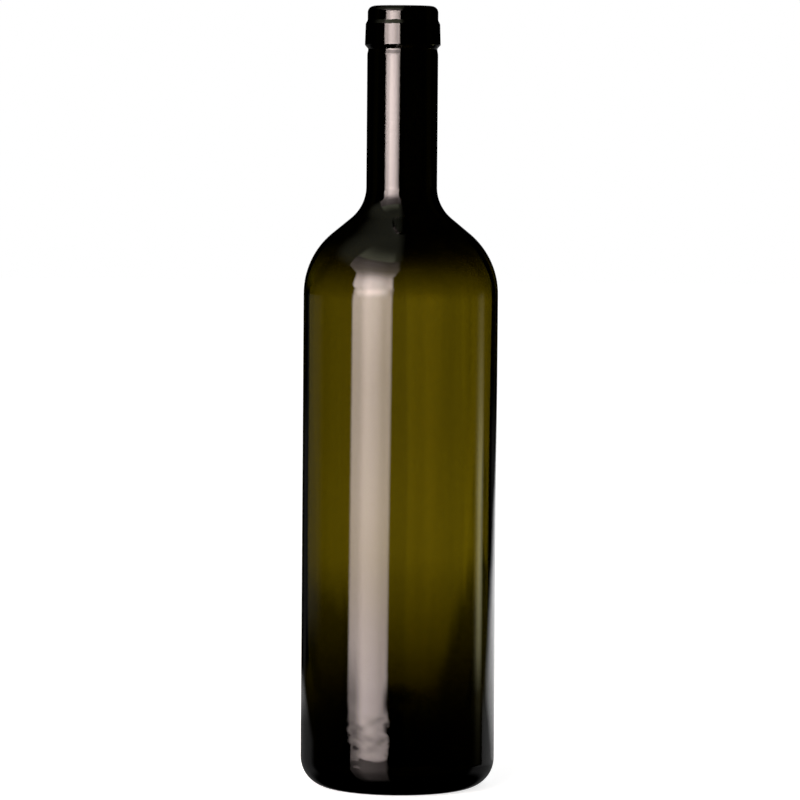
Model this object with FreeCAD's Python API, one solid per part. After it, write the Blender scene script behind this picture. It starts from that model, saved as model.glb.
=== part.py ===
import FreeCAD
import Part

import math
import os

# An empty bordeaux wine bottle, blown in one piece of dark green glass.
# It stands on z = 0 with its axis on Z.  One closed outline of the glass is drawn in the
# plane y = 0, with x as the radius, and is turned once about Z.  Lengths are millimetres.
# The outline is made of straight runs whose corners are rounded by tangent arcs.

# Overall
height = 303.0               # from the table to the rim of the mouth
body_diameter = 75.5         # outside of the straight side

# Shoulder and neck, outside
neck_diameter = 27.3
neck_length = 69.8           # from the rim down to where the neck starts to widen
shoulder_slope = 50.6        # degrees between the shoulder's straight run and the vertical
shoulder_radius = 30.5       # rounding from the side into the shoulder
neck_root_radius = 15.5      # rounding from the shoulder into the neck

# Mouth, outside: a plain lip above a flat band, with a shallow relief under the band
lip_diameter = 27.3
lip_height = 5.5
lip_round = 2.6
band_top_diameter = 28.8
band_foot_diameter = 29.3
band_height = 9.6
band_round = 0.6
band_slant = 1.5             # height of the slanted steps above and below the band
relief_depth = 0.3           # how far the relief goes into the neck
relief_height = 0.5
relief_run_out = 1.6         # height over which the relief fades into the neck

# Foot: a heel, a narrow flat ring to stand on, and a deep punt
heel_radius = 11.2
ring_width = 2.0
punt_edge_radius = 4.0       # rounding from the ring up into the punt
punt_depth = 33.5
punt_dome_radius = 12.0

# Inside
bore_diameter = 18.5         # at the mouth, for a standard cork
bore_foot_diameter = 19.5    # below the cork
cork_depth = 50.0            # over this length the bore widens evenly
bore_blend_radius = 400.0    # long rounding where the bore stops widening
rim_round = 1.4              # rounding between the rim and the bore
body_wall = 2.2
shoulder_wall = 4.4
inner_shoulder_radius = 27.3
inner_neck_radius = 19.2
heel_taper = 4.6             # degrees that the side's inner face leans in above the heel
heel_taper_height = 60.0     # where that lean would start as a sharp corner
heel_taper_radius = 900.0    # the long rounding that spreads it over the lower side
base_thickness = 8.0         # glass under the trough round the punt
trough_radius = 4.0
punt_wall = 5.5


def unit(dx, dz):
    """The direction of a run as a pair of length one."""
    length = math.hypot(dx, dz)
    return dx / length, dz / length


def point(x, z):
    return FreeCAD.Vector(x, 0.0, z)


def turn_angle(before, here, after):
    """The angle in radians by which the outline turns at a corner."""
    ax, az = unit(here[0] - before[0], here[1] - before[1])
    bx, bz = unit(after[0] - here[0], after[1] - here[1])
    return math.acos(max(-1.0, min(1.0, ax * bx + az * bz)))


def rounded_run(corners):
    """Edges through (x, z, radius) corners, each rounded by a tangent arc of its radius."""
    edges = []
    pen = point(corners[0][0], corners[0][1])
    for before, here, after in zip(corners, corners[1:], corners[2:]):
        turn = turn_angle(before, here, after)
        reach = here[2] * math.tan(turn / 2.0)
        ax, az = unit(here[0] - before[0], here[1] - before[1])
        bx, bz = unit(after[0] - here[0], after[1] - here[1])
        start = point(here[0] - reach * ax, here[1] - reach * az)
        end = point(here[0] + reach * bx, here[1] + reach * bz)
        # The arc's middle lies on the line from the corner to the arc's centre.
        mx, mz = unit(bx - ax, bz - az)
        to_middle = here[2] * (1.0 / math.cos(turn / 2.0) - 1.0)
        middle = point(here[0] + to_middle * mx, here[1] + to_middle * mz)
        edges.append(Part.LineSegment(pen, start).toShape())
        edges.append(Part.Arc(start, middle, end).toShape())
        pen = end
    edges.append(Part.LineSegment(pen, point(corners[-1][0], corners[-1][1])).toShape())
    return edges


def dome(centre_height, radius, side_angle):
    """The arc from the axis down to where a dome meets its cone, side_angle above level."""
    def on_dome(angle):
        return point(radius * math.cos(angle), centre_height + radius * math.sin(angle))

    half_way = (math.pi / 2.0 + side_angle) / 2.0
    return Part.Arc(on_dome(math.pi / 2.0), on_dome(half_way), on_dome(side_angle)).toShape()


def height_on(slope, offset, x):
    """Where the line x * cos(slope) + z * sin(slope) = offset passes the radius x."""
    return (offset - x * math.cos(slope)) / math.sin(slope)


def radius_on(slope, offset, z):
    """Where the line x * cos(slope) + z * sin(slope) = offset passes the height z."""
    return (offset - z * math.sin(slope)) / math.cos(slope)


def punt_angle():
    """The lean of the punt's side from the vertical, tangent to its dome and to its edge."""
    ring_inside = body_diameter / 2.0 - heel_radius - ring_width
    fall = punt_edge_radius - (punt_depth - punt_dome_radius)
    span = math.hypot(ring_inside, fall)
    return math.atan2(fall, ring_inside) + math.acos((punt_dome_radius + punt_edge_radius) / span)


def outer_corners(lean, punt_offset):
    """The outside, from the punt's side down, round the heel and up to the rim."""
    slope = math.radians(shoulder_slope)
    body_radius = body_diameter / 2.0
    neck_radius = neck_diameter / 2.0
    neck_corner = height - neck_length - neck_root_radius * math.tan(slope / 2.0)
    shoulder_corner = neck_corner - (body_radius - neck_radius) / math.tan(slope)
    band_top = height - lip_height
    band_foot = band_top - band_height
    relief_top = band_foot - band_slant
    relief_foot = relief_top - relief_height
    relief_radius = neck_radius - relief_depth
    dome_centre = punt_depth - punt_dome_radius
    # The rim's two roundings share its width, so they are limited by the wall there.
    rim_width = (lip_diameter - bore_diameter) / 2.0
    rim_share = min(1.0, 0.98 * rim_width / (lip_round + rim_round))
    return [
        (punt_dome_radius * math.cos(lean), dome_centre + punt_dome_radius * math.sin(lean), 0.0),
        (radius_on(lean, punt_offset, 0.0), 0.0, punt_edge_radius),
        (body_radius, 0.0, heel_radius),
        (body_radius, shoulder_corner, shoulder_radius),
        (neck_radius, neck_corner, neck_root_radius),
        (neck_radius, relief_foot - relief_run_out, 2.0 * relief_run_out),
        (relief_radius, relief_foot, relief_run_out),
        (relief_radius, relief_top, relief_depth),
        (band_foot_diameter / 2.0, band_foot, band_round),
        (band_top_diameter / 2.0, band_top - band_slant, band_round),
        (lip_diameter / 2.0, band_top, relief_depth),
        (lip_diameter / 2.0, height, rim_share * lip_round),
        (bore_diameter / 2.0, height, rim_share * rim_round),
    ]


def inner_corners(lean, punt_offset):
    """The inside, from the rim down the bore and the side to the punt's side."""
    slope = math.radians(shoulder_slope)
    taper = math.tan(math.radians(heel_taper))
    neck_corner = height - neck_length - neck_root_radius * math.tan(slope / 2.0)
    outer_offset = neck_diameter / 2.0 * math.cos(slope) + neck_corner * math.sin(slope)
    inner_offset = outer_offset - shoulder_wall
    bore_radius = bore_foot_diameter / 2.0
    side_radius = body_diameter / 2.0 - body_wall
    side_foot = side_radius - (heel_taper_height - base_thickness) * taper
    inner_punt_offset = punt_offset + punt_wall
    punt_foot = radius_on(lean, inner_punt_offset, base_thickness)
    dome_radius = punt_dome_radius + punt_wall
    dome_centre = punt_depth - punt_dome_radius
    # The trough's two roundings share its flat floor, so their radius is limited by it.
    reach_at_side = math.tan((math.pi / 2.0 - math.radians(heel_taper)) / 2.0)
    reach_at_punt = math.tan((math.pi / 2.0 - lean) / 2.0)
    floor_limit = 0.98 * (side_foot - punt_foot) / (reach_at_side + reach_at_punt)
    trough = min(trough_radius, floor_limit)
    return [
        (bore_diameter / 2.0, height, rim_round),
        (bore_radius, height - cork_depth, bore_blend_radius),
        (bore_radius, height_on(slope, inner_offset, bore_radius), inner_neck_radius),
        (side_radius, height_on(slope, inner_offset, side_radius), inner_shoulder_radius),
        (side_radius, heel_taper_height, heel_taper_radius),
        (side_foot, base_thickness, trough),
        (punt_foot, base_thickness, trough),
        (dome_radius * math.cos(lean), dome_centre + dome_radius * math.sin(lean), 0.0),
    ]


def bottle():
    """The glass as one solid of revolution."""
    lean = punt_angle()
    dome_centre = punt_depth - punt_dome_radius
    punt_offset = dome_centre * math.sin(lean) + punt_dome_radius
    corners = outer_corners(lean, punt_offset) + inner_corners(lean, punt_offset)[1:]
    edges = [dome(dome_centre, punt_dome_radius, lean)]
    edges += rounded_run(corners)
    edges.append(dome(dome_centre, punt_dome_radius + punt_wall, lean))
    edges.append(Part.LineSegment(point(0.0, punt_depth + punt_wall), point(0.0, punt_depth)).toShape())
    outline = Part.Wire(Part.__sortEdges__([edge for edge in edges if edge.Length > 1e-6]))
    turned = Part.Face(outline).revolve(FreeCAD.Vector(0, 0, 0), FreeCAD.Vector(0, 0, 1), 360.0)
    return Part.Solid(turned.Shells[0]) if turned.ShapeType != "Solid" else turned


os.makedirs("parts", exist_ok=True)
glass = bottle()
glass.exportStep("parts/bottle.step")
print("bottle: valid", glass.isValid(), "solids", len(glass.Solids),
      "volume %.0f mm3" % glass.Volume, "area %.0f mm2" % glass.Area)
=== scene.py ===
"""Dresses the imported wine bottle: one piece of blown green glass, and the stage it stands on."""

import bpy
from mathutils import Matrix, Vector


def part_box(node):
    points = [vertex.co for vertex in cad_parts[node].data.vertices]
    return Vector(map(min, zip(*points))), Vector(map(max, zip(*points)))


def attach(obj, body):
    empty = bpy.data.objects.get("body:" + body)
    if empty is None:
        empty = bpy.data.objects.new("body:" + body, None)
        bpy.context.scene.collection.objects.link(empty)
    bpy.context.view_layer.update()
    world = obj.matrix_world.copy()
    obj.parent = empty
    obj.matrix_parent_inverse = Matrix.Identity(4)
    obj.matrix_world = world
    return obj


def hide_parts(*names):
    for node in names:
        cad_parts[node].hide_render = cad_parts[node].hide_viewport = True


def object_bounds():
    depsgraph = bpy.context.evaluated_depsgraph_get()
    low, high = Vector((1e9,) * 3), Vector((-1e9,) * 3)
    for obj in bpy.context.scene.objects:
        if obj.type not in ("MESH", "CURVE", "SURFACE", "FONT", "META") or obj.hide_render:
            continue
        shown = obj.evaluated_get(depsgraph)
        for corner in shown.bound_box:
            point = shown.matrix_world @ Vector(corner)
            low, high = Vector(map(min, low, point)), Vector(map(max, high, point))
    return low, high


bl_info = {
    "name": "Bordeaux wine bottle",
    "version": (1, 0, 0),
    "blender": (4, 5, 0),
    "location": "3D View > Sidebar > Bottle",
    "description": "Blows an empty wine bottle of dark green glass and lights it on a pale stage",
    "category": "Add Mesh",
}

import math

import bmesh
import bpy
from mathutils import Matrix, Vector, noise

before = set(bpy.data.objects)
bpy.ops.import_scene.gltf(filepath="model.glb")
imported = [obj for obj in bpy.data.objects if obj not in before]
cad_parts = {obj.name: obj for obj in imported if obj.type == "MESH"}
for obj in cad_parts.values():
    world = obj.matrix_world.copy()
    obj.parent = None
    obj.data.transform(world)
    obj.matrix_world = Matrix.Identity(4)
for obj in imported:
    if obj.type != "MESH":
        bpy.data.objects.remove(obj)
CAD_LOW, CAD_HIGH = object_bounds()
_, GLASS_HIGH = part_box("bottle")

MM = 0.001
TOUCH = 1e-6  # metres: points closer than this are taken as one
HAIR = 1e-7  # metres: a run shorter than this isn't drawn
NEAR = 1e-5  # metres: room at both edges of the resting ring


def length(name, description, default, **more):
    """A length in metres, with its name, meaning and default."""
    return bpy.props.FloatProperty(
        name=name, description=description, default=default, min=0.0,
        subtype="DISTANCE", unit="LENGTH", precision=5, **more,
    )


def angle(name, description, degrees):
    """An angle, given in degrees and kept in radians."""
    return bpy.props.FloatProperty(
        name=name, description=description, default=math.radians(degrees),
        subtype="ANGLE", unit="ROTATION",
    )


def number(name, description, default, **more):
    """A plain number with its name, meaning and default."""
    return bpy.props.FloatProperty(name=name, description=description, default=default, **more)


def colour(name, description, default):
    """A colour without alpha."""
    return bpy.props.FloatVectorProperty(
        name=name, description=description, default=default,
        subtype="COLOR", size=3, min=0.0, max=1.0,
    )


class BottleForm(bpy.types.PropertyGroup):
    """The sizes of the glass, outside and inside."""

    height: length("Height", "From the table to the rim", GLASS_HIGH.z)
    body_radius: length("Body radius", "Outside of the straight side", GLASS_HIGH.x)
    neck_radius: length("Neck radius", "Outside of the neck", 13.65 * MM)
    neck_length: length("Neck length", "From the rim down to where the neck widens", 69.8 * MM)
    shoulder_slope: angle("Shoulder slope", "Of the shoulder's straight run from the vertical", 50.6)
    shoulder_radius: length("Shoulder rounding", "From the side into the shoulder", 30.5 * MM)
    neck_root_radius: length("Neck rounding", "From the shoulder into the neck", 15.5 * MM)
    lip_radius: length("Lip radius", "Outside of the lip above the band", 13.65 * MM)
    lip_height: length("Lip height", "From the band to the rim", 5.5 * MM)
    lip_round: length("Lip rounding", "Outer edge of the rim", 2.6 * MM)
    band_top_radius: length("Band top radius", "Outside of the band at its top", 14.4 * MM)
    band_foot_radius: length("Band foot radius", "Outside of the band at its foot", 14.65 * MM)
    band_height: length("Band height", "Of the flat band round the mouth", 9.6 * MM)
    band_round: length("Band rounding", "Edges of the band", 0.6 * MM)
    band_slant: length("Band slant", "Height of the slanted steps above and below the band", 1.5 * MM)
    relief_depth: length("Relief depth", "Of the shallow relief under the band", 0.3 * MM)
    relief_height: length("Relief height", "Straight part of the relief", 0.5 * MM)
    relief_run_out: length("Relief run-out", "Height over which the relief fades", 1.6 * MM)
    heel_radius: length("Heel rounding", "From the side into the foot", 11.2 * MM)
    ring_width: length("Ring width", "Flat ring that the bottle stands on", 2.0 * MM)
    punt_edge_radius: length("Punt edge rounding", "From the ring up into the punt", 4.0 * MM)
    punt_depth: length("Punt depth", "From the table to the punt's top", 33.5 * MM)
    punt_dome_radius: length("Punt dome radius", "Round top of the punt", 12.0 * MM)
    punt_wall: length("Punt wall", "Glass of the punt", 5.5 * MM)
    bore_radius: length("Bore radius", "At the mouth", 9.25 * MM)
    bore_foot_radius: length("Lower bore radius", "Below the cork", 9.75 * MM)
    cork_depth: length("Cork depth", "Over which the bore widens", 50.0 * MM)
    bore_blend_radius: length("Bore blend", "Long rounding where the bore stops widening", 400.0 * MM)
    rim_round: length("Rim rounding", "Inner edge of the rim", 1.4 * MM)
    body_wall: length("Body wall", "Glass of the straight side", 2.2 * MM)
    shoulder_wall: length("Shoulder wall", "Glass of the shoulder's straight run", 4.4 * MM)
    inner_shoulder_radius: length("Inner shoulder rounding", "Inside the side's top", 27.3 * MM)
    inner_neck_radius: length("Inner neck rounding", "Inside the neck's foot", 19.2 * MM)
    heel_taper: angle("Heel taper", "Lean of the side's inner face above the heel", 4.6)
    heel_taper_height: length("Heel taper height", "Where that lean would start as a corner", 60.0 * MM)
    heel_taper_radius: length("Heel taper rounding", "That spreads the lean over the side", 900.0 * MM)
    base_thickness: length("Base thickness", "Glass under the trough round the punt", 8.0 * MM)
    trough_radius: length("Trough rounding", "Corners of the trough round the punt", 4.0 * MM)


class BottleSurface(bpy.types.PropertyGroup):
    """How uneven the blown glass is, and how finely it is meshed."""

    segments: bpy.props.IntProperty(name="Segments", description="Round the bottle", default=168, min=48)
    run_step: length("Run step", "Longest piece of a straight run", 5.0 * MM)
    run_end: length("Run end", "Short piece at both ends of a straight run, which keeps it flat", 0.4 * MM)
    arc_step: angle("Arc step", "Largest turn of one piece of an arc", 2.5)
    skin: length("Skin", "Room left under the outer size for seams and waves", 0.1 * MM)
    wall_wave: length("Wall wave", "How far the inner face wanders in and out", 0.26 * MM)
    outer_wave: length("Outer wave", "Slow waves of the outer face", 0.02 * MM)
    heel_ripple: length("Heel ripple", "Short ripples chilled into the outer face above the heel", 0.065 * MM)
    seam_height: length("Seam height", "Mould seams down both sides", 0.05 * MM)
    seam_width: length("Seam width", "Half the width of a mould seam", 0.35 * MM)
    ripple_top: length("Ripple top", "Height up to which the outer face is rippled", 42.0 * MM)
    ripple_step: length("Ripple step", "Distance between the rings of the mesh there", 1.2 * MM)
    knurl_depth: length("Knurl depth", "Stippling of the ring that the bottle stands on", 0.25 * MM)


class BottleGlass(bpy.types.PropertyGroup):
    """The finish of the glass."""

    ior: number("IOR", "Refractive index of bottle glass", 1.52, min=1.0, max=2.0)
    roughness: number("Roughness", "Of the polished surface", 0.015, min=0.0, max=1.0)
    skin_tint: colour("Skin tint", "Colour that each skin lets through", (1.0, 0.878, 0.80))
    tint: colour("Tint", "Colour that the depth of glass lets through", (0.681, 0.67, 0.12))
    density: number("Density", "How strongly the glass absorbs, per metre", 1500.0, min=0.0)
    crinkle: length("Crinkle", "Height of the finest ripples in the skin above the heel", 0.030 * MM)
    crinkle_size: length("Crinkle size", "Across one of the finest ripples", 4.6 * MM)


class BottleStage(bpy.types.PropertyGroup):
    """Camera, floor and light."""

    camera_distance: length("Camera distance", "From the bottle's axis", 1.717)
    camera_height: length("Camera height", "Above the floor", 0.2525)
    camera_pitch: angle("Camera pitch", "Down from level", 3.398)
    camera_roll: angle("Camera roll", "Clockwise lean of the bottle in the frame", 0.453)
    lens: number("Lens", "Focal length in millimetres", 199.4, min=1.0)
    floor_size: length("Floor size", "Half the side of the floor", 6.0)
    ambient: number("Ambient", "Light from the room on the floor", 0.45, min=0.0)
    paper_glow: number("Paper glow", "How white the paper looks before any light falls on it", 0.76, min=0.0)
    key_distance: length("Key distance", "From the bottle's axis to the softbox", 0.9)
    key_radiance: number("Key radiance", "Of the softbox where it is brightest", 22.0, min=0.0)
    key_lean: number("Key lean", "How far the softbox leans, in radians of bearing to a metre of height", 0.2)
    key_level: length("Key level", "Height at which the softbox has its stated bearings", 0.155)
    key_colour: colour("Key colour", "Of the softbox", (1.0, 0.835, 0.79))
    key_from: angle("Key from", "Where the softbox starts, left of the camera", 10.0)
    key_to: angle("Key to", "Where the softbox ends, left of the camera", 57.9)
    key_low: length("Key foot", "Depth of its foot below the floor", 1.3)
    key_high: length("Key top", "Height of its top", 1.25)
    key_through: number("Key through glass", "Share of the softbox that is seen through glass", 0.25, min=0.0)
    strip_radiance: number("Strip radiance", "Of the narrow strip light on the right", 2.0, min=0.0)
    strip_from: angle("Strip from", "Where the strip light starts, right of the camera", 96.0)
    strip_to: angle("Strip to", "Where the strip light ends, right of the camera", 118.5)
    ceiling_radiance: number("Ceiling radiance", "Of the dim panel overhead on the left", 0.20, min=0.0)


def unit(dx, dz):
    """The direction of a run as a pair of length one."""
    size = math.hypot(dx, dz)
    return dx / size, dz / size


def run_to(bm, pen, x, z, surface):
    """Extrudes the pen vertex in pieces, straight to the radius x and height z."""
    reach = Vector((x, 0.0, z)) - pen.co
    span = reach.length
    if span < HAIR:
        return pen
    ends = min(surface.run_end, span / 4.0)
    middle = max(1, math.ceil((span - 2.0 * ends) / surface.run_step))
    pieces = [ends] + [(span - 2.0 * ends) / middle] * middle + [ends]
    for piece in pieces:
        pen = bmesh.ops.extrude_vert_indiv(bm, verts=[pen])["verts"][0]
        bmesh.ops.translate(bm, verts=[pen], vec=reach * (piece / span))
    return pen


SMALL_ROUND = 2.4 * MM  # an arc under this radius is drawn in coarser pieces
COARSEST = 3.0  # how many times the usual turn the coarsest piece may take
FEWEST_PIECES = 3


def turn_about(bm, pen, x, z, turn, surface):
    """Spins the pen vertex about a centre in the plane of the outline. A turn above zero is anticlockwise."""
    radius = math.hypot(pen.co.x - x, pen.co.z - z)
    wanted = math.sqrt(SMALL_ROUND / radius) * surface.arc_step
    step = min(surface.arc_step * COARSEST, max(surface.arc_step, wanted))
    sweep = abs(turn)
    pieces = max(FEWEST_PIECES, math.ceil(sweep / step), math.ceil(sweep * radius / surface.run_step))
    swept = bmesh.ops.spin(
        bm, geom=[pen], cent=(x, 0.0, z), axis=(0.0, -1.0, 0.0), dvec=(0.0, 0.0, 0.0),
        angle=turn, steps=pieces, use_merge=False, use_duplicate=False,
    )
    return [item for item in swept["geom_last"] if isinstance(item, bmesh.types.BMVert)][0]


def rounded_run(bm, pen, corners, surface):
    """Draws through (x, z, radius) corners from the pen, each rounded by a tangent arc."""
    before = (pen.co.x, pen.co.z)
    for here, after in zip(corners, corners[1:]):
        ax, az = unit(here[0] - before[0], here[1] - before[1])
        bx, bz = unit(after[0] - here[0], after[1] - here[1])
        turn = math.atan2(ax * bz - az * bx, ax * bx + az * bz)
        reach = here[2] * math.tan(abs(turn) / 2.0)
        side = math.copysign(1.0, turn)
        start_x, start_z = here[0] - reach * ax, here[1] - reach * az
        pen = run_to(bm, pen, start_x, start_z, surface)
        centre_x, centre_z = start_x - side * here[2] * az, start_z + side * here[2] * ax
        pen = turn_about(bm, pen, centre_x, centre_z, turn, surface)
        before = (here[0], here[1])
    return run_to(bm, pen, corners[-1][0], corners[-1][1], surface)


def height_on(slope, offset, x):
    """Where the line x * cos(slope) + z * sin(slope) = offset passes the radius x."""
    return (offset - x * math.cos(slope)) / math.sin(slope)


def radius_on(slope, offset, z):
    """Where the line x * cos(slope) + z * sin(slope) = offset passes the height z."""
    return (offset - z * math.sin(slope)) / math.cos(slope)


def punt_lean(form):
    """The lean of the punt's side from the vertical, tangent to its dome and to its edge."""
    ring_inside = form.body_radius - form.heel_radius - form.ring_width
    fall = form.punt_edge_radius - (form.punt_depth - form.punt_dome_radius)
    span = math.hypot(ring_inside, fall)
    return math.atan2(fall, ring_inside) + math.acos((form.punt_dome_radius + form.punt_edge_radius) / span)


def neck_corner(form):
    """The height where the shoulder's line would meet the neck without a rounding."""
    return form.height - form.neck_length - form.neck_root_radius * math.tan(form.shoulder_slope / 2.0)


def outer_corners(form, skin, lean, punt_offset):
    """The outside, from the punt's foot round the heel and up to the rim."""
    body = form.body_radius - skin
    corner = neck_corner(form)
    shoulder_corner = corner - (body - form.neck_radius) / math.tan(form.shoulder_slope)
    band_top = form.height - form.lip_height
    band_foot = band_top - form.band_height
    relief_top = band_foot - form.band_slant
    relief_foot = relief_top - form.relief_height
    relief_radius = form.neck_radius - form.relief_depth
    return [
        (radius_on(lean, punt_offset, 0.0), 0.0, form.punt_edge_radius),
        (body, 0.0, form.heel_radius),
        (body, shoulder_corner, form.shoulder_radius),
        (form.neck_radius, corner, form.neck_root_radius),
        (form.neck_radius, relief_foot - form.relief_run_out, 2.0 * form.relief_run_out),
        (relief_radius, relief_foot, form.relief_run_out),
        (relief_radius, relief_top, form.relief_depth),
        (form.band_foot_radius, band_foot, form.band_round),
        (form.band_top_radius, band_top - form.band_slant, form.band_round),
        (form.lip_radius, band_top, form.relief_depth),
        (form.lip_radius, form.height, form.lip_round),
        ((form.lip_radius + form.bore_radius) / 2.0, form.height, 0.0),
    ]


def inner_corners(form, lean, punt_offset):
    """The inside, from the rim down the bore and the side to the punt's side."""
    slope, bore = form.shoulder_slope, form.bore_foot_radius
    outer_offset = form.neck_radius * math.cos(slope) + neck_corner(form) * math.sin(slope)
    inner_offset = outer_offset - form.shoulder_wall
    side = form.body_radius - form.body_wall
    side_foot = side - (form.heel_taper_height - form.base_thickness) * math.tan(form.heel_taper)
    punt_foot = radius_on(lean, punt_offset + form.punt_wall, form.base_thickness)
    dome_radius = form.punt_dome_radius + form.punt_wall
    dome_centre = form.punt_depth - form.punt_dome_radius
    return [
        (form.bore_radius, form.height, form.rim_round),
        (bore, form.height - form.cork_depth, form.bore_blend_radius),
        (bore, height_on(slope, inner_offset, bore), form.inner_neck_radius),
        (side, height_on(slope, inner_offset, side), form.inner_shoulder_radius),
        (side, form.heel_taper_height, form.heel_taper_radius),
        (side_foot, form.base_thickness, form.trough_radius),
        (punt_foot, form.base_thickness, form.trough_radius),
        (dome_radius * math.cos(lean), dome_centre + dome_radius * math.sin(lean), 0.0),
    ]


def draw_outline(bm, form, surface):
    """Draws the glass's outline in the plane y = 0 and marks the vertices of its inside."""
    lean = punt_lean(form)
    dome_centre = form.punt_depth - form.punt_dome_radius
    punt_offset = dome_centre * math.sin(lean) + form.punt_dome_radius
    fall = lean - math.pi / 2.0
    inside = bm.verts.layers.float.new("inside")

    pen = bm.verts.new((0.0, 0.0, form.punt_depth))
    pen = turn_about(bm, pen, 0.0, dome_centre, fall, surface)
    pen = rounded_run(bm, pen, outer_corners(form, surface.skin, lean, punt_offset), surface)
    outside = set(bm.verts)
    pen = rounded_run(bm, pen, inner_corners(form, lean, punt_offset), surface)
    turn_about(bm, pen, 0.0, dome_centre, -fall, surface)
    for vert in bm.verts:
        vert[inside] = 0.0 if vert in outside else 1.0
    return inside


def fade(low, high, value):
    """Rises smoothly from 0 at low to 1 at high."""
    share = min(1.0, max(0.0, (value - low) / (high - low)))
    return share * share * (3.0 - 2.0 * share)


def wave(point, around, along, seed):
    """Even noise on the bottle's skin: waves of a size round it and along it, in metres."""
    place = Vector((point.x / around, point.y / around, point.z / along + seed))
    return noise.noise(place)


# The waves of the skin: the size of one round the bottle, its size along it, and its seed
SLOW_WAVE = (12 * MM, 160 * MM, 3.0)
QUICK_WAVE = (4.5 * MM, 110 * MM, 11.0)
CALM_WAVE = (22 * MM, 60 * MM, 31.0)
RIPPLE = (4.5 * MM, 6 * MM, 21.0)
FINE_RIPPLE = (2.8 * MM, 3.2 * MM, 5.0)
SLOW_SHARE = 0.8
QUICK_SHARE = 0.45
FINE_SHARE = 0.45
RIPPLE_CREST = 0.75  # what rises over this is flattened
RIPPLE_LEVEL = 0.25  # what is under this lies below the drawn outline
# Heights over which the waves of the side come and go, and the ripples of the heel come and start to go
SIDE_RISE = (40 * MM, 70 * MM)
SIDE_FALL = (200 * MM, 225 * MM)
RIPPLE_RISE = (7 * MM, 13 * MM)
RIPPLE_FALL = 26 * MM
RIPPLE_SIDES = (18 * MM, 30 * MM)  # how far out to the left and right the ripples go


def uneven(vert, is_inside, surface):
    """How far a vertex of the blown skin lies from the drawn outline, outwards."""
    point = vert.co
    on_side = fade(*SIDE_RISE, point.z) * (1.0 - fade(*SIDE_FALL, point.z))
    if is_inside:
        waves = SLOW_SHARE * wave(point, *SLOW_WAVE) + QUICK_SHARE * wave(point, *QUICK_WAVE)
        return surface.wall_wave * on_side * waves
    low = fade(*RIPPLE_RISE, point.z) * (1.0 - fade(RIPPLE_FALL, surface.ripple_top, point.z))
    low *= 1.0 - fade(*RIPPLE_SIDES, abs(point.x))
    ripple = wave(point, *RIPPLE) + FINE_SHARE * wave(point, *FINE_RIPPLE)
    ripple = surface.heel_ripple * low * (min(ripple, RIPPLE_CREST) - RIPPLE_LEVEL)
    return surface.outer_wave * wave(point, *CALM_WAVE) * on_side + ripple


def roughen(bm, inside, form, surface):
    """Moves the vertices in and out as the blown glass does, and raises the mould's marks."""
    ring_low = form.body_radius - form.heel_radius - form.ring_width
    ring_high = form.body_radius - form.heel_radius
    for vert in bm.verts:
        radius = math.hypot(vert.co.x, vert.co.y)
        if radius < TOUCH:
            continue
        is_inside = vert[inside] > 0.5
        out = uneven(vert, is_inside, surface)
        on_seam = abs(vert.co.y) < TOUCH and not is_inside and vert.co.z > form.heel_radius
        below_lip = vert.co.z < form.height - form.lip_height - form.band_height
        if on_seam and below_lip:
            out += surface.seam_height
        vert.co.x *= (radius + out) / radius
        vert.co.y *= (radius + out) / radius
        on_ring = vert.co.z < TOUCH and ring_low - NEAR < radius < ring_high + NEAR
        if on_ring and not is_inside:
            turn = math.atan2(vert.co.y, vert.co.x)
            vert.co.z += surface.knurl_depth * (0.5 + 0.5 * math.cos(turn * surface.segments / 2.0))


def outer_wall(bm, inside, form):
    """The faces of the outer side of the wall, outside the punt, with their edges and vertices."""
    punt = form.body_radius - form.heel_radius
    faces = [
        face for face in bm.faces
        if all(vert[inside] < 0.5 and math.hypot(vert.co.x, vert.co.y) > punt for vert in face.verts)
    ]
    verts = dict.fromkeys(vert for face in faces for vert in face.verts)
    edges = dict.fromkeys(edge for face in faces for edge in face.edges)
    return [*verts, *edges, *faces]


def set_inputs(node, values):
    """Sets a node's sockets to plain values, by name."""
    for name, value in values.items():
        node.inputs[name].default_value = value


def axes_of(tree, space):
    """The vector that a Texture Coordinate node gives in a space, and its x, y and z."""
    place = tree.nodes.new("ShaderNodeTexCoord").outputs[space]
    axes = tree.nodes.new("ShaderNodeSeparateXYZ")
    tree.links.new(place, axes.inputs["Vector"])
    return place, tuple(axes.outputs)


def ray(tree, name):
    """1 for the rays that the name says, and 0 for all others."""
    return tree.nodes.new("ShaderNodeLightPath").outputs[name]


def maths(tree, operation, *values):
    """A Math node of an operation on numbers or sockets."""
    made = tree.nodes.new("ShaderNodeMath")
    made.operation = operation
    for socket, value in zip(made.inputs, values):
        if isinstance(value, bpy.types.NodeSocket):
            tree.links.new(value, socket)
        else:
            socket.default_value = value
    return made.outputs["Value"]


def product(tree, first, *others):
    """All the values multiplied, one after the other."""
    for other in others:
        first = maths(tree, "MULTIPLY", first, other)
    return first


def raised(tree, level, share, more):
    """The level, with more added where the share is 1."""
    return maths(tree, "ADD", level, product(tree, share, more))


def dimmed(tree, level, share, loss=1.0):
    """The level, with the loss taken off as a part of it where the share is 1."""
    return product(tree, level, maths(tree, "SUBTRACT", 1.0, product(tree, share, loss)))


def blend(tree, first, second, share):
    """The first level where the share is 0, and the second where it is 1."""
    return raised(tree, dimmed(tree, first, share), second, share)


def map_range(tree, value, low, high):
    """Maps low to 0 and high to 1 in a straight line."""
    made = tree.nodes.new("ShaderNodeMapRange")
    tree.links.new(value, made.inputs["Value"])
    set_inputs(made, {"From Min": low, "From Max": high})
    return made.outputs["Result"]


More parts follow.
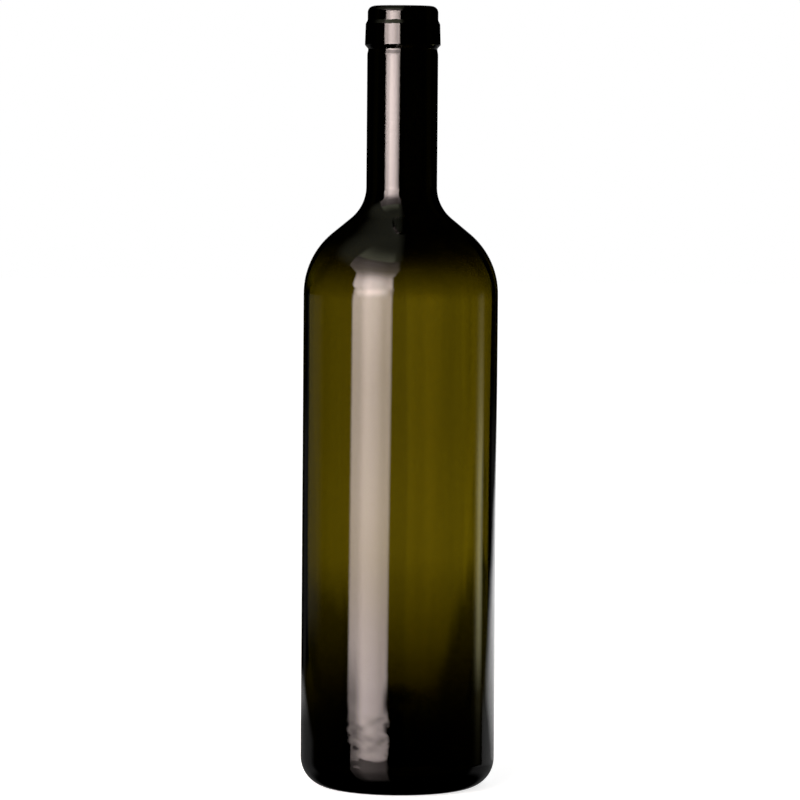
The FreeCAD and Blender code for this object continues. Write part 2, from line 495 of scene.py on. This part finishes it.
def ramp(tree, value, low, high):
    """Rises smoothly from 0 at low to 1 at high, or falls where low is above high."""
    made = tree.nodes.new("ShaderNodeMapRange")
    made.interpolation_type = "SMOOTHSTEP"
    tree.links.new(value, made.inputs["Value"])
    rises = low < high
    set_inputs(made, {
        "From Min": min(low, high), "From Max": max(low, high),
        "To Min": 0.0 if rises else 1.0, "To Max": 1.0 if rises else 0.0,
    })
    return made.outputs["Result"]


def window(tree, value, low, high, soft):
    """1 between low and high, falling to 0 over soft at both ends."""
    half = soft / 2.0
    rise = ramp(tree, value, low - half, low + half)
    return product(tree, rise, ramp(tree, value, high + half, high - half))


def mask(tree, value, limits):
    """A ramp over two limits, or a window between the first two that is as soft as the third."""
    return (ramp if len(limits) == 2 else window)(tree, value, *limits)


def turn_mask(tree, turn, limits):
    """A mask by bearing, over limits in degrees."""
    return mask(tree, turn, [math.radians(degrees) for degrees in limits])


def sine(degrees):
    """The height on the unit sphere of an elevation in degrees."""
    return math.sin(math.radians(degrees))


def rise_mask(tree, z, limits):
    """A mask by the elevation of a direction, over limits in degrees."""
    return mask(tree, z, [sine(degrees) for degrees in limits])


def bearing(tree, x, y):
    """The angle from +Y towards +X of a direction."""
    return maths(tree, "ARCTAN2", x, y)


def bearing_left(tree, x, y):
    """The angle from -Y towards -X of a place: its bearing to the left of the camera."""
    return bearing(tree, product(tree, x, -1.0), product(tree, y, -1.0))


def colour_ramp(tree, value, kind, stops):
    """A colour that runs through stops of position and colour."""
    made = tree.nodes.new("ShaderNodeValToRGB")
    made.color_ramp.interpolation = kind
    points = made.color_ramp.elements
    for index, (place, shade) in enumerate(stops):
        point = points[index] if index < 2 else points.new(place)
        point.position = place
        point.color = (*shade, 1.0)
    tree.links.new(value, made.inputs["Fac"])
    return made.outputs["Color"]


def profile(tree, value, stops):
    """A grey level that runs smoothly through stops of position and level."""
    return colour_ramp(tree, value, "CARDINAL", [(place, (level,) * 3) for place, level in stops])


def stepped_profile(tree, value, stops):
    """A grey level through many stops, on two ramps that meet at the middle one."""
    half = len(stops) // 2
    lower = profile(tree, value, stops[:half + 1])
    upper = profile(tree, value, stops[half:])
    return blend(tree, lower, upper, maths(tree, "GREATER_THAN", value, stops[half][0]))


def profile_over(tree, value, low, high, stops, draw=profile):
    """A grey level by a value that runs from low to high, through stops of that value and the level."""
    places = [((place - low) / (high - low), level) for place, level in stops]
    return draw(tree, map_range(tree, value, low, high), places)


def empty_material(name):
    """A material with nothing in it but its output, and its tree and that output."""
    material = bpy.data.materials.new(name)
    material.use_nodes = True
    tree = material.node_tree
    tree.nodes.clear()
    return material, tree, tree.nodes.new("ShaderNodeOutputMaterial")


# Heights, and the share of its tint that the skin lets through there: little at the foot and from the
# shoulder up, partly standing in for the thicker glass there and partly painted shade for the dark seen
# through the neck and the foot
THICK_GLASS_AND_PAINTED_SHADE = (
    (0.026, 0.35), (0.036, 0.85), (0.050, 1.0), (0.194, 1.0), (0.1995, 0.96), (0.2040, 0.80), (0.2087, 0.42),
    (0.2150, 0.13),
)
# The finest ripples: their slant, how much longer than wide they are, and where they start and end
CRINKLE_SLANT = math.radians(42.0)
CRINKLE_STRETCH = 2.9
CRINKLE_DETAIL = 1.0
CRINKLE_TWIST = 0.6
CRINKLE_RISE = (7 * MM, 12 * MM)
CRINKLE_FALL = (36 * MM, 25 * MM)
CRINKLE_SIDES = (28 * MM, 18 * MM)


def crinkled(tree, place, x, z, glass):
    """The normal of a skin with slanting ripples above the heel, away from the left and right."""
    aslant = tree.nodes.new("ShaderNodeMapping")
    aslant.vector_type = "TEXTURE"
    set_inputs(aslant, {"Rotation": (0.0, CRINKLE_SLANT, 0.0), "Scale": (CRINKLE_STRETCH, 1.0, 1.0)})
    tree.links.new(place, aslant.inputs["Vector"])
    crinkles = tree.nodes.new("ShaderNodeTexNoise")
    set_inputs(crinkles, {
        "Scale": 1.0 / glass.crinkle_size, "Detail": CRINKLE_DETAIL, "Distortion": CRINKLE_TWIST,
    })
    tree.links.new(aslant.outputs["Vector"], crinkles.inputs["Vector"])
    low = product(tree, mask(tree, z, CRINKLE_RISE), mask(tree, z, CRINKLE_FALL))
    low = product(tree, low, mask(tree, maths(tree, "ABSOLUTE", x), CRINKLE_SIDES))
    relief = tree.nodes.new("ShaderNodeBump")
    set_inputs(relief, {"Strength": 1.0, "Distance": glass.crinkle})
    tree.links.new(product(tree, crinkles.outputs["Fac"], low), relief.inputs["Height"])
    return relief.outputs["Normal"]


def bottle_glass(glass):
    """Dark green bottle glass: a polished skin whose tint darkens towards the foot and from the shoulder up,
    partly for thicker glass and partly as painted shade, and colour that the depth of glass gives.
    """
    material, tree, output = empty_material("bottle_glass")
    place, (x, _, z) = axes_of(tree, "Object")
    heights = map_range(tree, z, 0.0, GLASS_HIGH.z)
    stops = [
        (height / GLASS_HIGH.z, [level * part for part in glass.skin_tint])
        for height, level in THICK_GLASS_AND_PAINTED_SHADE
    ]
    skin = tree.nodes.new("ShaderNodeBsdfPrincipled")
    set_inputs(skin, {
        "Metallic": 0.0, "Roughness": glass.roughness, "IOR": glass.ior, "Transmission Weight": 1.0,
    })
    # The skin's colour by height carries painted shade at the foot, the shoulder and the neck
    tree.links.new(colour_ramp(tree, heights, "EASE", stops), skin.inputs["Base Color"])
    tree.links.new(crinkled(tree, place, x, z, glass), skin.inputs["Normal"])
    body = tree.nodes.new("ShaderNodeVolumeAbsorption")
    set_inputs(body, {"Color": (*glass.tint, 1.0), "Density": glass.density})
    tree.links.new(skin.outputs["BSDF"], output.inputs["Surface"])
    tree.links.new(body.outputs["Volume"], output.inputs["Volume"])
    return material


class BOTTLE_OT_blow_glass(bpy.types.Operator):
    """Blow the bottle: turn its outline round the axis, and give it its waves, seams and finish"""

    bl_idname = "bottle.blow_glass"
    bl_label = "Blow the bottle"

    def execute(self, context):
        form, surface = context.scene.bottle_form, context.scene.bottle_surface
        bm = bmesh.new()
        inside = draw_outline(bm, form, surface)
        bmesh.ops.spin(
            bm, geom=bm.verts[:] + bm.edges[:], cent=(0.0, 0.0, 0.0), axis=(0.0, 0.0, 1.0),
            dvec=(0.0, 0.0, 0.0), angle=math.tau, steps=surface.segments,
            use_merge=True, use_duplicate=False,
        )
        bmesh.ops.remove_doubles(bm, verts=bm.verts[:], dist=TOUCH)
        for side in (-1.0, 1.0):
            bmesh.ops.bisect_plane(
                bm, geom=bm.verts[:] + bm.edges[:] + bm.faces[:], dist=HAIR,
                plane_co=(0.0, side * surface.seam_width, 0.0), plane_no=(0.0, 1.0, 0.0),
            )
        ring = form.heel_radius / 2.0
        while ring < surface.ripple_top:
            bmesh.ops.bisect_plane(
                bm, geom=outer_wall(bm, inside, form), dist=TOUCH,
                plane_co=(0.0, 0.0, ring), plane_no=(0.0, 0.0, 1.0),
            )
            ring += surface.ripple_step
        roughen(bm, inside, form, surface)
        bmesh.ops.recalc_face_normals(bm, faces=bm.faces[:])
        open_edges = sum(1 for edge in bm.edges if len(edge.link_faces) != 2)
        if open_edges:
            bm.free()
            raise RuntimeError(f"the glass isn't closed: {open_edges} edges")
        for face in bm.faces:
            face.smooth = True
        mesh = bpy.data.meshes.new("bottle_glass")
        bm.to_mesh(mesh)
        bm.free()
        piece = bpy.data.objects.new("bottle_glass", mesh)
        context.scene.collection.objects.link(piece)
        piece.data.materials.append(bottle_glass(context.scene.bottle_finish))
        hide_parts("bottle")
        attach(piece, "root")
        return {"FINISHED"}


# The white table behind the bottle, by degrees above level: its brightness, and its edge in TABLE_REACH
LOW_WHITE = (
    (-10.0, 0.0), (-9.0, 0.08), (-8.4, 0.20), (-8.05, 0.25), (-7.8, 0.29), (-7.5, 0.46), (-7.3, 0.56),
    (-7.0, 0.70), (-6.6, 0.84), (-6.05, 0.98), (-5.0, 1.0),
)
LOW_WHITE_PEAK = 1.4
LOW_WHITE_EDGE = (
    (-9.0, 0.33), (-8.0, 0.52), (-7.8, 0.62), (-7.5, 0.71), (-7.2, 0.79), (-6.6, 0.72), (-6.05, 0.63),
    (-5.5, 0.52), (-4.5, 0.33), (-3.0, 0.0),
)
TABLE_REACH = math.radians(60.0)
# Bearings here are degrees to the right of straight back, and heights degrees above level. Of two limits, a
# level is 0 at the first and full at the second. Three limits are the ends of a window and their softness.
TABLE_SOFT = 0.17
TABLE_END = (-8.0, -2.0)
TABLE_FOOT = (-32.0, -20.0)
SKIRT_FLARE = (-8.5, -12.0)
SKIRT_WIDER = -0.28
SKIRT_EDGE = (1.10, 0.90)
SKIRT_TOP = (-7.0, -7.5)
SKIRT_BRIGHTER = (-14.0, -8.5)
SKIRT_LEVEL, SKIRT_MORE = 0.09, 0.08
LEFT_SLANT_FROM, LEFT_SLANT, LEFT_SLANT_MOST = -7.0, -38.0, 30.0
LEFT_EDGE = (-35.0, -21.0)
LEFT_END = (-2.0, -8.0)
LEFT_TOP = (-6.8, -7.2)
LEFT_BRIGHTER = (-7.6, -7.2)
LEFT_LEVEL, LEFT_MORE = 0.09, 0.15
WALL_BEARINGS = (-72.0, -40.0, 16.0)
WALL_HEIGHTS = (-6.3, -1.4, 0.8)
WALL_LEVEL = 0.063
VEIL_BEARINGS = ((-36.0, -25.0, 6.0), (26.0, 38.0, 6.0))
VEIL_HEIGHTS = (-7.0, -3.6, 1.2)
VEIL_LEVEL = 0.028


def elevation_profile(tree, z, stops):
    """A grey level by the elevation of a direction, from stops of degrees and level."""
    heights = [(sine(degrees), level) for degrees, level in stops]
    return profile_over(tree, z, heights[0][0], heights[-1][0], heights)


def seen_in_gloss(tree, turn, z):
    """What the glass mirrors: the white table behind it and its skirt, a dim wall and two veils."""
    foot = rise_mask(tree, z, TABLE_FOOT)
    share = maths(tree, "DIVIDE", turn, TABLE_REACH)
    past_edge = maths(tree, "SUBTRACT", share, elevation_profile(tree, z, LOW_WHITE_EDGE))
    inside_edge = ramp(tree, past_edge, TABLE_SOFT, -TABLE_SOFT)
    table = product(tree, inside_edge, elevation_profile(tree, z, LOW_WHITE), LOW_WHITE_PEAK)
    wider = product(tree, rise_mask(tree, z, SKIRT_FLARE), SKIRT_WIDER)
    skirt = product(
        tree, mask(tree, maths(tree, "ADD", share, wider), SKIRT_EDGE), foot, rise_mask(tree, z, SKIRT_TOP),
        raised(tree, SKIRT_LEVEL, rise_mask(tree, z, SKIRT_BRIGHTER), SKIRT_MORE),
    )
    right = product(tree, maths(tree, "MAXIMUM", table, skirt), turn_mask(tree, turn, TABLE_END))
    slant = product(tree, maths(tree, "SUBTRACT", z, sine(LEFT_SLANT_FROM)), LEFT_SLANT)
    slant = maths(tree, "MINIMUM", slant, math.radians(LEFT_SLANT_MOST))
    left = product(
        tree, turn_mask(tree, maths(tree, "ADD", turn, slant), LEFT_EDGE), turn_mask(tree, turn, LEFT_END),
        product(tree, rise_mask(tree, z, LEFT_TOP), foot),
        raised(tree, LEFT_LEVEL, rise_mask(tree, z, LEFT_BRIGHTER), LEFT_MORE),
    )
    wall = product(tree, turn_mask(tree, turn, WALL_BEARINGS), WALL_LEVEL, rise_mask(tree, z, WALL_HEIGHTS))
    veils = maths(tree, "ADD", *(turn_mask(tree, turn, bearings) for bearings in VEIL_BEARINGS))
    veils = product(tree, veils, rise_mask(tree, z, VEIL_HEIGHTS))
    dim = raised(tree, wall, veils, VEIL_LEVEL)
    return maths(tree, "ADD", maths(tree, "ADD", right, left), dim)


# Seen through the glass: the brightness of the back by bearing, a belt round it, and the black flags
BACK_LIGHT = (
    (-16.0, 0.76), (-8.0, 0.75), (-5.0, 0.66), (-2.0, 0.64), (0.0, 0.64), (1.6, 0.71), (3.5, 0.72),
    (6.0, 0.90), (9.0, 1.0),
)
BELT_HEIGHTS = (-6.4, -4.2, 1.4)
BELT_LEVEL, BELT_MORE = 0.92, 0.14
RIGHT_FLAG = (15.0, 19.0)
RIGHT_FLAG_END = (38.0, 36.0)
RIGHT_FLAG_INWARDS = (((-2.6, -4.8), 7.5), ((-4.8, -8.0), 2.0))
LEFT_FLAG = (-37.0, -15.0, 4.0)
LOW_FLAGS = (1.5, 4.0)
LOW_FLAGS_END = (42.0, 36.0)
LOW_FLAGS_TOP = (-6.4, -9.0)
LOW_FLAGS_RIGHT = (0.0, 3.0)
LOW_FLAGS_LEVEL, LOW_FLAGS_MORE = 0.70, 0.14
FLAGGED_FOOT = (-15.0, -13.0)
FLAGGED_TOP = (18.0, 9.0)
FLAGGED_SIDES = (60.0, 45.0)


def seen_through_glass(tree, turn, z):
    """The white room behind the glass, dimmer in the middle and on the left, between black flags."""
    lights = [(math.radians(degrees), level) for degrees, level in BACK_LIGHT]
    back = profile_over(tree, turn, lights[0][0], lights[-1][0], lights)
    belt = raised(tree, BELT_LEVEL, rise_mask(tree, z, BELT_HEIGHTS), BELT_MORE)
    inwards = maths(tree, "ADD", *(
        product(tree, rise_mask(tree, z, heights), math.radians(degrees))
        for heights, degrees in RIGHT_FLAG_INWARDS
    ))
    right = turn_mask(tree, maths(tree, "ADD", turn, inwards), RIGHT_FLAG)
    right = product(tree, right, turn_mask(tree, turn, RIGHT_FLAG_END))
    left = turn_mask(tree, turn, LEFT_FLAG)
    away = maths(tree, "ABSOLUTE", turn)
    low = product(
        tree, turn_mask(tree, away, LOW_FLAGS), rise_mask(tree, z, LOW_FLAGS_TOP),
        turn_mask(tree, away, LOW_FLAGS_END),
        raised(tree, LOW_FLAGS_LEVEL, turn_mask(tree, turn, LOW_FLAGS_RIGHT), LOW_FLAGS_MORE),
    )
    dark = maths(tree, "MAXIMUM", maths(tree, "MAXIMUM", right, left), low)
    level = dimmed(tree, product(tree, back, belt), dark)
    flagged = product(
        tree, rise_mask(tree, z, FLAGGED_FOOT), rise_mask(tree, z, FLAGGED_TOP),
        turn_mask(tree, away, FLAGGED_SIDES),
    )
    lost = product(tree, maths(tree, "SUBTRACT", 1.0, level), flagged)
    return maths(tree, "SUBTRACT", 1.0, lost)


def build_world(stage):
    """A white room to look at and through the glass, and a dark one for the glass to mirror."""
    world = bpy.data.worlds.new("studio")
    bpy.context.scene.world = world
    world.use_nodes = True
    tree = world.node_tree
    tree.nodes.clear()
    output = tree.nodes.new("ShaderNodeOutputWorld")
    light = tree.nodes.new("ShaderNodeBackground")
    _, (x, y, z) = axes_of(tree, "Generated")
    turn = bearing(tree, x, y)
    camera = ray(tree, "Is Camera Ray")
    through = ray(tree, "Is Transmission Ray")
    glossy = ray(tree, "Is Glossy Ray")
    mirrored = maths(tree, "MAXIMUM", maths(tree, "SUBTRACT", glossy, through), 0.0)
    plain = maths(tree, "MAXIMUM", camera, maths(tree, "MAXIMUM", glossy, through))
    shares = (
        (camera, 1.0),
        (through, seen_through_glass(tree, turn, z)),
        (mirrored, seen_in_gloss(tree, turn, z)),
        (maths(tree, "SUBTRACT", 1.0, plain), stage.ambient),
    )
    strength = None
    for flag, level in shares:
        part = product(tree, flag, level)
        strength = part if strength is None else maths(tree, "ADD", strength, part)
    tree.links.new(strength, light.inputs["Strength"])
    light.inputs["Color"].default_value = (1.0, 1.0, 1.0, 1.0)
    tree.links.new(light.outputs["Background"], output.inputs["Surface"])


def floor_material(stage):
    """Matt white paper that reads as white to the eye and through glass, and still takes a soft shadow."""
    material, tree, output = empty_material("white_paper")
    paper = tree.nodes.new("ShaderNodeBsdfDiffuse")
    paper.inputs["Color"].default_value = (0.8, 0.8, 0.8, 1.0)
    glow = tree.nodes.new("ShaderNodeEmission")
    seen = maths(tree, "MAXIMUM", ray(tree, "Is Camera Ray"), ray(tree, "Is Transmission Ray"))
    tree.links.new(product(tree, seen, stage.paper_glow), glow.inputs["Strength"])
    both = tree.nodes.new("ShaderNodeAddShader")
    tree.links.new(paper.outputs["BSDF"], both.inputs[0])
    tree.links.new(glow.outputs["Emission"], both.inputs[1])
    tree.links.new(both.outputs["Shader"], output.inputs["Surface"])
    return material


def build_floor(stage):
    """A wide flat floor at the height that the bottle stands on."""
    bm = bmesh.new()
    bmesh.ops.create_grid(bm, x_segments=1, y_segments=1, size=stage.floor_size)
    bmesh.ops.translate(bm, verts=bm.verts[:], vec=(0.0, 0.0, CAD_LOW.z))
    floor = stage_piece("floor", bm, floor_material(stage))
    floor.visible_glossy = floor.visible_transmission = False


def stage_piece(name, bm, material):
    """Turns a bmesh into a piece of the stage, which isn't part of the object."""
    mesh = bpy.data.meshes.new(name)
    bm.to_mesh(mesh)
    bm.free()
    piece = bpy.data.objects.new(name, mesh)
    piece.data.materials.append(material)
    bpy.context.scene.collection.objects.link(piece)
    return piece


CARD_STEPS = 24


def curved_card(name, distance, start, end, low, high, material):
    """A card bent round the bottle's axis, between two bearings from +Y and two heights."""
    bm = bmesh.new()
    foot = bm.verts.new((distance * math.sin(start), distance * math.cos(start), low))
    top = bm.verts.new((distance * math.sin(start), distance * math.cos(start), high))
    edge = bm.edges.new((foot, top))
    bmesh.ops.spin(
        bm, geom=[foot, top, edge], cent=(0.0, 0.0, 0.0), axis=(0.0, 0.0, 1.0), dvec=(0.0, 0.0, 0.0),
        angle=start - end, steps=CARD_STEPS, use_merge=False, use_duplicate=False,
    )
    card = stage_piece(name, bm, material)
    card.visible_camera = False
    return card


def card_material(name, tint):
    """An emission material, with its tree, its strength socket and the place's x, y and z."""
    material, tree, output = empty_material(name)
    glow = tree.nodes.new("ShaderNodeEmission")
    set_inputs(glow, {"Color": (*tint, 1.0)})
    tree.links.new(glow.outputs["Emission"], output.inputs["Surface"])
    _, axes = axes_of(tree, "Object")
    return material, tree, glow.inputs["Strength"], axes


# The softbox: its brightness by height, and by the share of the way across it in its upper and lower parts
KEY_HEIGHTS = (
    (-1.3, 0.0), (-0.91, 0.06), (-0.42, 0.11), (-0.16, 0.20), (-0.115, 0.24), (-0.10, 0.29), (-0.08, 0.43),
    (-0.045, 0.45), (0.0, 0.41), (0.036, 0.455), (0.12, 0.50), (0.155, 0.60), (0.22, 0.85), (0.27, 1.0),
    (0.31, 0.90), (0.34, 0.80), (0.42, 0.78), (0.52, 0.67), (0.64, 0.36), (0.757, 0.135), (0.90, 0.080),
    (1.07, 0.058), (1.25, 0.035),
)
KEY_SPARE = math.radians(18.0)  # by which its cloth runs on past both edges
KEY_UPPER = (
    (0.0, 0.455), (0.084, 0.514), (0.18, 0.505), (0.27, 0.62), (0.37, 0.736), (0.478, 0.82), (0.57, 0.89),
    (0.67, 0.80), (0.775, 0.60), (0.88, 0.555), (0.96, 0.53), (1.0, 0.41),
)
KEY_LOWER = (
    (0.0, 0.50), (0.084, 0.62), (0.18, 0.67), (0.27, 0.79), (0.37, 0.88), (0.478, 0.955), (0.57, 1.0),
    (0.67, 0.936), (0.775, 0.76), (0.88, 0.69), (0.96, 0.60), (1.0, 0.41),
)
KEY_SOFT = math.radians(4.0)  # of its two upright edges
KEY_LEANS = (-0.12, 0.30)  # heights between which it leans
KEY_ASIDE = (0.36, 0.64, 0.05)  # heights between which it steps aside, by an angle and a share
KEY_ASIDE_ANGLE, KEY_ASIDE_SHARE = math.radians(1.0), 0.02
KEY_FLARE = (0.58, 0.88)  # heights over which it widens about a bearing, by a share
KEY_FLARE_ABOUT, KEY_FLARE_SHARE = math.radians(20.0), 0.38
KEY_HEEL = (-0.080, -0.090)  # heights over which its foot steps in, by an angle
KEY_HEEL_ANGLE = math.radians(1.8)
KEY_UPPER_HEIGHTS = (0.0, 0.15)  # heights over which its lower levels give way to its upper ones
# Its dim places: limits of the share across it, limits of the height, and the part of the light that is lost
KEY_SHADES = (
    ((0.56, 0.86), (-0.035, -0.075), 0.54),
    ((0.16, 0.0), (-0.086, -0.066, 0.012), 0.8),
    ((0.91, 0.95), (-0.094, -0.100), 1.0),
)
KEY_PINCH = (0.20, 0.33, 0.07)  # heights between which its sides lose a part of their light
KEY_PINCH_LOSS = 0.7
KEY_PINCH_RIGHT, KEY_PINCH_LEFT = (9.0, 21.0), (60.0, 50.0)
KEY_FOOT = (-0.1065, -0.1155)  # heights over which the whole foot does
KEY_FOOT_LOSS = 0.74


def key_bearing(tree, x, y, z, stage):
    """The bearing on the softbox, left of the camera, with its lean, steps and flare taken off."""
    low, high = KEY_LEANS
    leaning = maths(tree, "MAXIMUM", maths(tree, "MINIMUM", z, high), low)
    leaning = maths(tree, "SUBTRACT", leaning, stage.key_level)
    left = raised(tree, bearing_left(tree, x, y), leaning, stage.key_lean)
    aside = raised(tree, KEY_ASIDE_ANGLE, left, KEY_ASIDE_SHARE)
    left = maths(tree, "SUBTRACT", left, product(tree, aside, mask(tree, z, KEY_ASIDE)))
    flare = product(tree, mask(tree, z, KEY_FLARE), KEY_FLARE_SHARE)
    inwards = product(tree, maths(tree, "SUBTRACT", left, KEY_FLARE_ABOUT), flare)
    left = maths(tree, "SUBTRACT", left, inwards)
    return raised(tree, left, mask(tree, z, KEY_HEEL), KEY_HEEL_ANGLE)


def key_material(stage):
    """The softbox: brightest in its middle, dimmer to its sides, its foot and its top."""
    material, tree, strength, (x, y, z) = card_material("softbox_cloth", stage.key_colour)
    tall = profile_over(tree, z, -stage.key_low, stage.key_high, KEY_HEIGHTS, stepped_profile)
    left = key_bearing(tree, x, y, z, stage)
    across = map_range(tree, left, stage.key_from, stage.key_to)
    lower, upper = profile(tree, across, KEY_LOWER), profile(tree, across, KEY_UPPER)
    wide = blend(tree, lower, upper, mask(tree, z, KEY_UPPER_HEIGHTS))
    wide = product(tree, wide, window(tree, left, stage.key_from, stage.key_to, KEY_SOFT))
    for limits, heights, loss in KEY_SHADES:
        shade = product(tree, mask(tree, across, limits), mask(tree, z, heights))
        wide = dimmed(tree, wide, shade, loss)
    slim = turn_mask(tree, left, KEY_PINCH_RIGHT)
    slim = product(tree, slim, turn_mask(tree, left, KEY_PINCH_LEFT))
    pinch = product(tree, mask(tree, z, KEY_PINCH), KEY_PINCH_LOSS)
    wide = dimmed(tree, wide, pinch, maths(tree, "SUBTRACT", 1.0, slim))
    wide = dimmed(tree, wide, mask(tree, z, KEY_FOOT), KEY_FOOT_LOSS)
    level = product(tree, tall, wide, stage.key_radiance)
    level = dimmed(tree, level, ray(tree, "Is Transmission Ray"), 1.0 - stage.key_through)
    tree.links.new(level, strength)
    return material


def build_key(stage):
    """The large curved softbox on the left, in front."""
    start = math.pi + stage.key_to + KEY_SPARE
    end = math.pi + stage.key_from - KEY_SPARE
    low, high = -stage.key_low, stage.key_high
    curved_card("key_softbox", stage.key_distance, start, end, low, high, key_material(stage))


# The strip light: its brightness by height, and by the share of the way across it
STRIP_HEIGHTS = (
    (-0.12, 0.0), (-0.08, 0.025), (-0.068, 0.05), (-0.057, 0.11), (-0.04, 0.48), (-0.0115, 0.84),
    (0.0115, 0.96), (0.034, 0.93), (0.057, 0.97), (0.08, 0.73), (0.102, 0.48), (0.136, 0.27), (0.159, 0.18),
    (0.20, 0.05), (0.24, 0.0),
)
STRIP_BEARINGS = ((0.0, 0.0), (0.25, 0.22), (0.45, 0.80), (0.56, 1.0), (0.74, 0.80), (0.88, 0.30), (1.0, 0.0))
STRIP_TINT = (1.0, 0.93, 0.50)
STRIP_DISTANCE = 0.8


def build_strip(stage):
    """The narrow strip light on the right, a little behind."""
    material, tree, strength, (x, y, z) = card_material("strip_cloth", STRIP_TINT)
    low, high = STRIP_HEIGHTS[0][0], STRIP_HEIGHTS[-1][0]
    tall = profile_over(tree, z, low, high, STRIP_HEIGHTS)
    right = maths(tree, "SUBTRACT", math.pi, bearing(tree, x, y))
    wide = profile(tree, map_range(tree, right, stage.strip_from, stage.strip_to), STRIP_BEARINGS)
    level = product(tree, tall, stage.strip_radiance)
    level = dimmed(tree, level, ray(tree, "Is Transmission Ray"))
    tree.links.new(product(tree, level, wide), strength)
    start, end = math.pi - stage.strip_from, math.pi - stage.strip_to
    card = curved_card("strip_light", STRIP_DISTANCE, start, end, low, high, material)
    card.visible_transmission = False


CEILING_TINT = (0.98, 1.0, 0.72)
CEILING_HALF = 0.86  # half the side of the square panel
CEILING_PLACE = (-0.80, 0.0, 1.2)
CEILING_BACK = (0.85, -0.10)  # where it fades to the back, to the left and to the right
CEILING_LEFT = (-1.65, -1.0)
CEILING_RIGHT = (0.09, -0.08)
SPILL_OUT = (0.36, 0.95)  # how far out the softbox's light falls on it
SPILL_TO, SPILL_SOFT = math.radians(74.0), math.radians(10.0)
SPILL_LEVEL = 0.85


def build_ceiling(stage):
    """The dim panel overhead on the left, which fades to the back and catches the softbox in front."""
    material, tree, strength, (x, y, _) = card_material("ceiling_cloth", CEILING_TINT)
    dim = product(tree, mask(tree, y, CEILING_BACK), mask(tree, x, CEILING_LEFT), stage.ceiling_radiance)
    out = maths(tree, "SQRT", maths(tree, "ADD", product(tree, x, x), product(tree, y, y)))
    caught = window(tree, bearing_left(tree, x, y), stage.key_from, SPILL_TO, SPILL_SOFT)
    spill = product(tree, mask(tree, out, SPILL_OUT), caught)
    level = product(tree, raised(tree, dim, spill, SPILL_LEVEL), mask(tree, x, CEILING_RIGHT))
    tree.links.new(dimmed(tree, level, ray(tree, "Is Transmission Ray")), strength)
    bm = bmesh.new()
    bmesh.ops.create_grid(bm, x_segments=1, y_segments=1, size=CEILING_HALF)
    bmesh.ops.translate(bm, verts=bm.verts[:], vec=CEILING_PLACE)
    panel = stage_piece("ceiling_panel", bm, material)
    panel.visible_camera = panel.visible_transmission = False


def build_camera(stage):
    """A long lens, level with the neck and looking a little down."""
    data = bpy.data.cameras.new("camera")
    data.sensor_width = 36.0
    data.lens = stage.lens
    data.clip_start, data.clip_end = 0.01, 30.0
    camera = bpy.data.objects.new("camera", data)
    turn = Matrix.Rotation(-stage.camera_pitch, 4, "X") @ Matrix.Rotation(math.pi / 2.0, 4, "X")
    roll = Matrix.Rotation(stage.camera_roll, 4, "Z")
    place = Matrix.Translation((0.0, -stage.camera_distance, stage.camera_height))
    camera.matrix_world = place @ turn @ roll
    bpy.context.scene.collection.objects.link(camera)
    bpy.context.scene.camera = camera


class BOTTLE_OT_set_stage(bpy.types.Operator):
    """Set the stage: a white floor and room, studio light and the camera"""

    bl_idname = "bottle.set_stage"
    bl_label = "Set the stage"

    def execute(self, context):
        stage = context.scene.bottle_stage
        context.scene.view_settings.view_transform = "Standard"
        build_world(stage)
        build_floor(stage)
        build_key(stage)
        build_strip(stage)
        build_ceiling(stage)
        build_camera(stage)
        return {"FINISHED"}


class BOTTLE_PT_panel(bpy.types.Panel):
    """Lists the bottle's operators and their sizes"""

    bl_idname = "BOTTLE_PT_panel"
    bl_label = "Bordeaux bottle"
    bl_space_type = "VIEW_3D"
    bl_region_type = "UI"
    bl_category = "Bottle"

    def draw(self, context):
        scene = context.scene
        steps = (
            (BOTTLE_OT_blow_glass, (scene.bottle_form, scene.bottle_surface, scene.bottle_finish)),
            (BOTTLE_OT_set_stage, (scene.bottle_stage,)),
        )
        for operator, groups in steps:
            box = self.layout.box()
            box.operator(operator.bl_idname)
            for group in groups:
                for name in group.__annotations__:
                    box.prop(group, name)


GROUPS = {
    "bottle_form": BottleForm,
    "bottle_surface": BottleSurface,
    "bottle_finish": BottleGlass,
    "bottle_stage": BottleStage,
}
CLASSES = (*GROUPS.values(), BOTTLE_OT_blow_glass, BOTTLE_OT_set_stage, BOTTLE_PT_panel)


def register():
    for cls in CLASSES:
        bpy.utils.register_class(cls)
    for name, group in GROUPS.items():
        setattr(bpy.types.Scene, name, bpy.props.PointerProperty(type=group))


def unregister():
    for name in GROUPS:
        delattr(bpy.types.Scene, name)
    for cls in reversed(CLASSES):
        bpy.utils.unregister_class(cls)


def main():
    """Makes the bottle and its stage."""
    register()
    bpy.ops.bottle.blow_glass()
    bpy.ops.bottle.set_stage()
    bpy.context.view_layer.update()


if __name__ == "__main__":
    main()
